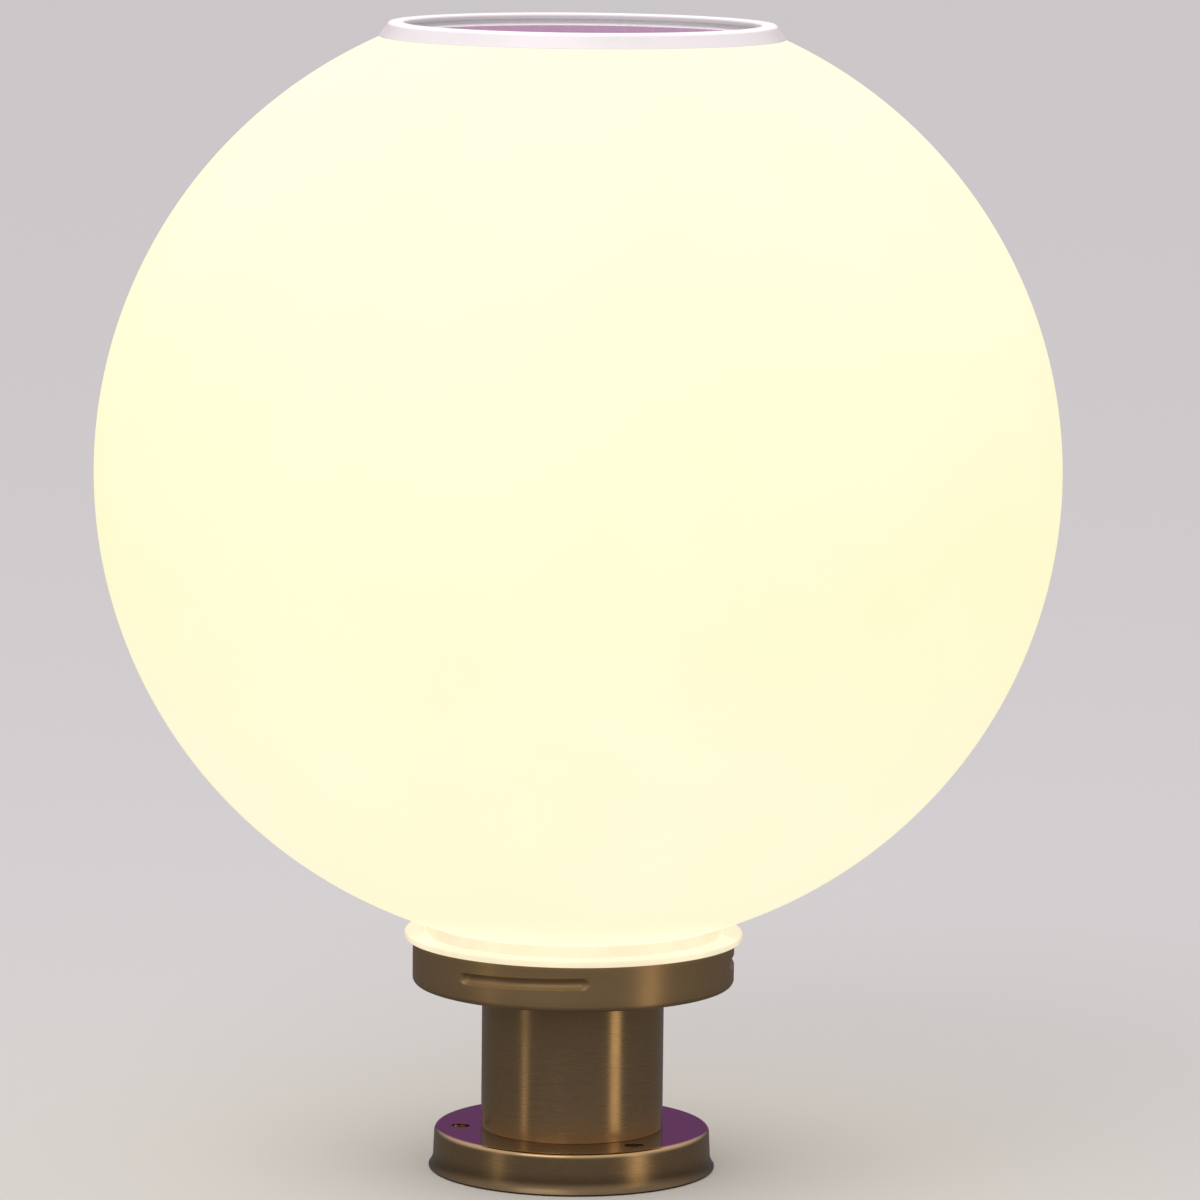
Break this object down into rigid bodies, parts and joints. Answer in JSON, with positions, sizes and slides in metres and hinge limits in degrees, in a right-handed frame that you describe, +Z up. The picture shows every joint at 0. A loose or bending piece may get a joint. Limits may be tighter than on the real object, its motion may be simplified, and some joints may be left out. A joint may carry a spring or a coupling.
{
  "type": "solar globe lamp",
  "caption": "Opal ball garden lamp for a gatepost or wall: solar panel cap, twist-off globe on a steel collar, short brushed steel column and round screw-down foot.",
  "frame": {"origin": "centre of the foot's underside, on the ground", "axes": "+Z up along the lamp's axis; -Y is the side with a collar bead to the left of its middle"},
  "size_m": [0.3, 0.3, 0.3588],
  "materials": {
    "opal_plastic": "opal white, lit warm from inside, satin",
    "brushed_steel": "brushed along the column and round the foot and collar",
    "plated_hardware": "zinc plated",
    "seal_rubber": "matt black",
    "white_plastic": "moulded white, satin gloss",
    "panel_glass": "polished",
    "solar_cell": "dark blue silicon with fine silver fingers",
    "board_laminate": "green circuit board laminate",
    "housing_plastic": "moulded off-white, fine texture",
    "cell_wrap": "shrink-wrapped blue",
    "contact_metal": "nickel plated spring steel",
    "led_aluminium": "white coated aluminium board",
    "led_phosphor": "yellow phosphor",
    "clear_plastic": "clear moulded cover",
    "component_black": "black moulded packages",
    "lead_insulation": "red and black insulation"
  },
  "bodies": {
    "stand": {"foot_dish": "brushed_steel", "column_tube": "brushed_steel", "collar_cup": "brushed_steel", "lower_centring_disc": "plated_hardware", "upper_centring_disc": "plated_hardware", "tie_rod": "plated_hardware", "lower_washer": "plated_hardware", "upper_washer": "plated_hardware", "spring_washer": "plated_hardware", "lower_nut": "plated_hardware", "upper_nut": "plated_hardware"},
    "seal": {"globe_seal": "seal_rubber"},
    "globe": {"globe_shell": "opal_plastic", "neck_ring": "opal_plastic"},
    "solar_unit": {"bezel_ring": "white_plastic", "mouth_seal": "seal_rubber", "panel_glass": "panel_glass", "solar_cells": "solar_cell", "panel_backing": "board_laminate", "panel_gasket": "seal_rubber", "module_housing": "housing_plastic", "battery_cell": "cell_wrap", "battery_contacts": "contact_metal", "battery_spring": "contact_metal", "led_board": "led_aluminium", "led_chips": "led_phosphor", "led_cover": "clear_plastic", "led_cover_screws": "plated_hardware", "control_board": "board_laminate", "board_components": "component_black", "board_screws": "plated_hardware", "switch_body": "component_black", "panel_leads": "lead_insulation", "light_leads": "lead_insulation", "battery_leads": "lead_insulation"},
    "battery_door": {"battery_door": "housing_plastic"},
    "switch_knob": {"switch_knob": "component_black"}
  },
  "joints": [
    {"name": "globe_rise", "type": "slide", "parent": "stand", "child": "seal", "axis": [0, 0, 1], "range_m": [0, 0.00134]},
    {"name": "globe_twist", "type": "hinge", "parent": "seal", "child": "globe", "pos_m": [0, 0, 0.0675], "axis": [0, 0, 1], "range_deg": [0, 60]},
    {"name": "unit_lift", "type": "slide", "parent": "globe", "child": "solar_unit", "axis": [0, 0, 1], "range_m": [0, 0.075]},
    {"name": "door_slide", "type": "slide", "parent": "solar_unit", "child": "battery_door", "axis": [1, 0, 0], "range_m": [0, 0.045]},
    {"name": "switch_slide", "type": "slide", "parent": "solar_unit", "child": "switch_knob", "axis": [1, 0, 0], "range_m": [0, 0.003]}
  ],
  "couplings": [
    {"joint": "globe_rise", "follows": "globe_twist", "m_per_rad": 0.0012732}
  ]
}
